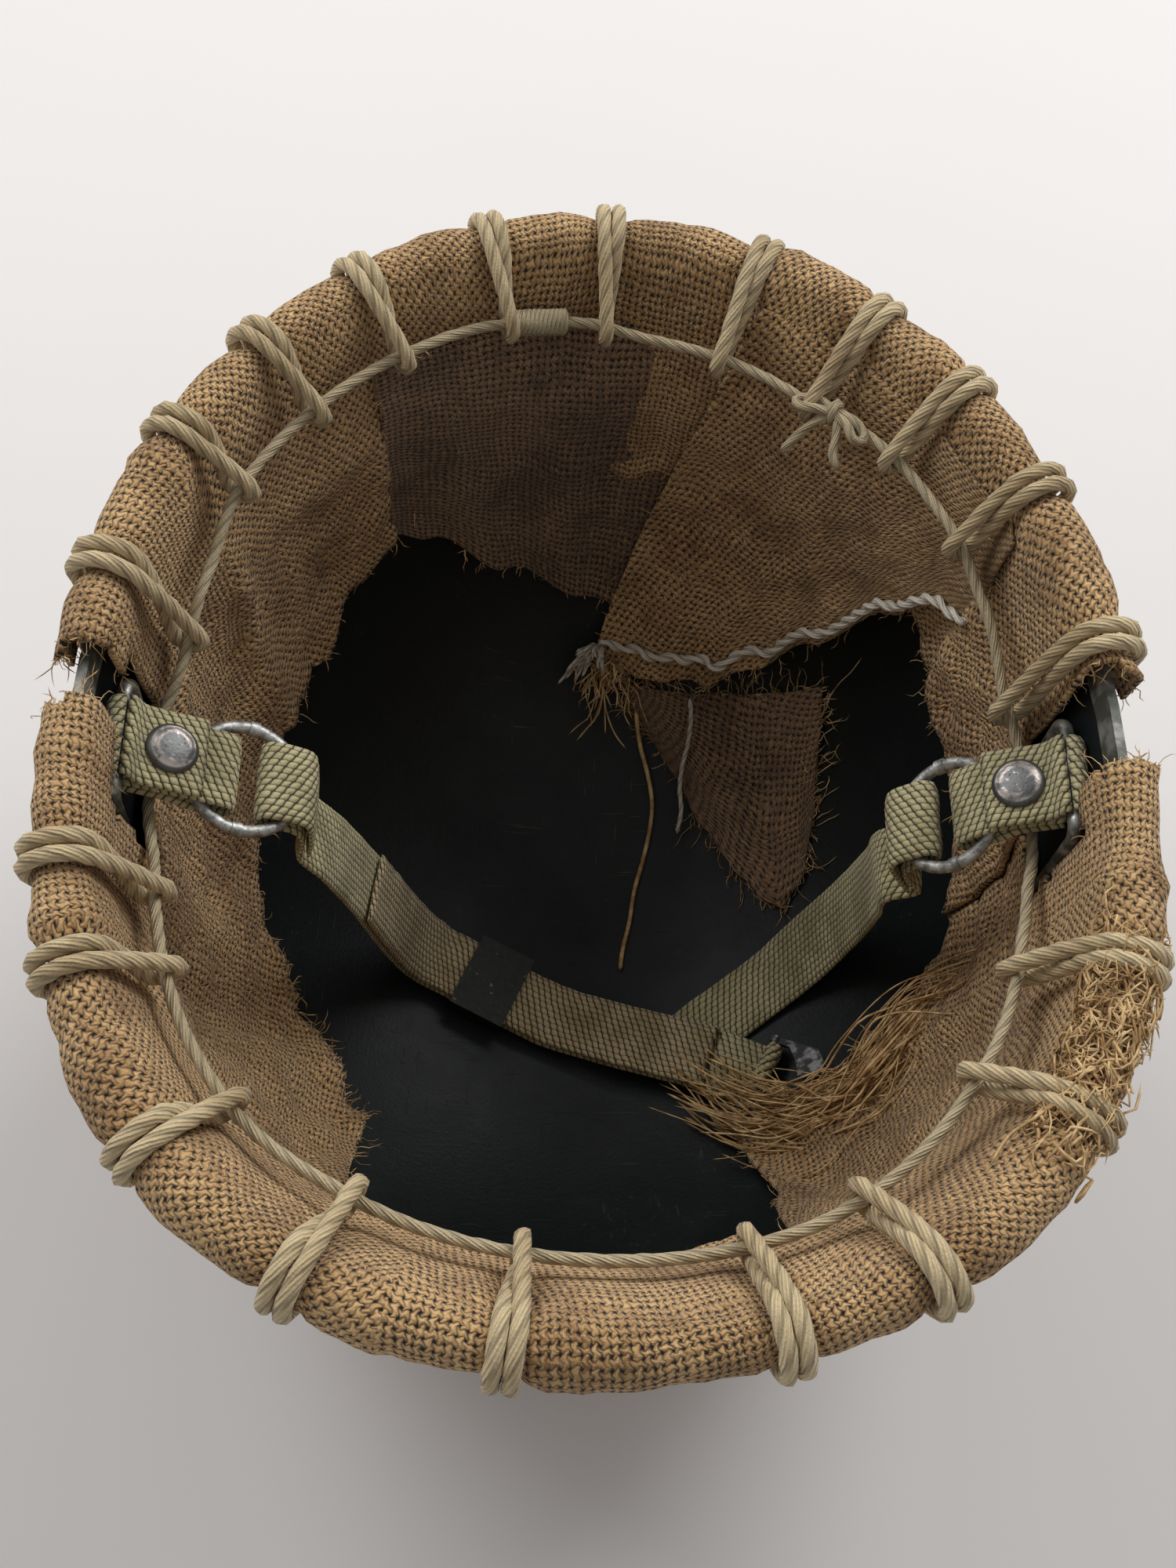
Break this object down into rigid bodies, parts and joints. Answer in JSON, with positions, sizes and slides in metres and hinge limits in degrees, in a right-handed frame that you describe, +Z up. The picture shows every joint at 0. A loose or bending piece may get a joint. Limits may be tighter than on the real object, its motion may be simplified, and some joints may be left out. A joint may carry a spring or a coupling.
{
  "type": "steel helmet",
  "caption": "Pressed steel helmet shell with cloth cover, cord net, drawstring and two webbing chin straps, standing on its crown.",
  "frame": {"origin": "on the surface that the helmet stands on, under the middle of its length and width", "axes": "+Z up out of the opening, +Y towards the visor, +X to the right in the picture"},
  "size_m": [0.2501, 0.3008, 0.1928],
  "materials": {
    "shell_paint": "semi-gloss green-black paint",
    "bare_steel": "worn dull steel",
    "bail_steel": "worn painted rod",
    "burlap": "coarse woven jute",
    "burlap_dark": "coarse woven jute, dark",
    "net_cord": "laid cotton cord",
    "string": "braided string",
    "webbing": "woven olive webbing",
    "webbing_brown": "woven brownish webbing",
    "snap_metal": "worn dark lacquer on metal",
    "galvanised": "mottled galvanised",
    "black_metal": "worn black",
    "hook_steel": "dull grey"
  },
  "bodies": {
    "helmet": {"shell": "shell_paint", "rim_strip": "bare_steel", "left_bail": "bail_steel", "right_bail": "bail_steel", "cover": "burlap", "dark_pleat": "burlap_dark", "side_flap": "burlap", "hanging_flap": "burlap", "net": "net_cord", "net_edge_loops": "net_cord", "drawstring": "string", "left_tab": "webbing", "left_snap_stud": "snap_metal", "left_strap": "webbing", "left_strap_ply": "webbing_brown", "right_tab": "webbing", "right_snap_stud": "snap_metal", "right_strap": "webbing"},
    "left_flap_body": {"left_tab_flap": "webbing", "left_snap_cap": "snap_metal"},
    "right_flap_body": {"right_tab_flap": "webbing", "right_snap_cap": "snap_metal"},
    "left_ring_body": {"left_ring": "galvanised"},
    "right_ring_body": {"right_ring": "galvanised"},
    "keeper_body": {"keeper": "black_metal"},
    "hook_body": {"hook_plate": "hook_steel"}
  },
  "joints": [
    {"name": "left_flap_fold", "type": "hinge", "parent": "helmet", "child": "left_flap_body", "pos_m": [-0.1082, -0.00675, 0.17163], "axis": [0, -1, 0], "range_deg": [0, 110]},
    {"name": "right_flap_fold", "type": "hinge", "parent": "helmet", "child": "right_flap_body", "pos_m": [0.1082, -0.00675, 0.17163], "axis": [0, 1, 0], "range_deg": [0, 110]},
    {"name": "left_ring_turn", "type": "hinge", "parent": "helmet", "child": "left_ring_body", "pos_m": [-0.08349, -0.00675, 0.14968], "axis": [0.4067, 0, 0.9135], "range_deg": [-25, 25]},
    {"name": "right_ring_turn", "type": "hinge", "parent": "helmet", "child": "right_ring_body", "pos_m": [0.08644, -0.00675, 0.14546], "axis": [-0.7193, 0, 0.6947], "range_deg": [-25, 25]},
    {"name": "keeper_slide", "type": "slide", "parent": "helmet", "child": "keeper_body", "axis": [0.9057, -0.4025, -0.1327], "range_m": [-0.002, 0.008]},
    {"name": "hook_swing", "type": "hinge", "parent": "helmet", "child": "hook_body", "pos_m": [0.0565, -0.03675, 0.02856], "axis": [-0.4886, -0.8725, 0], "range_deg": [0, 50]}
  ]
}
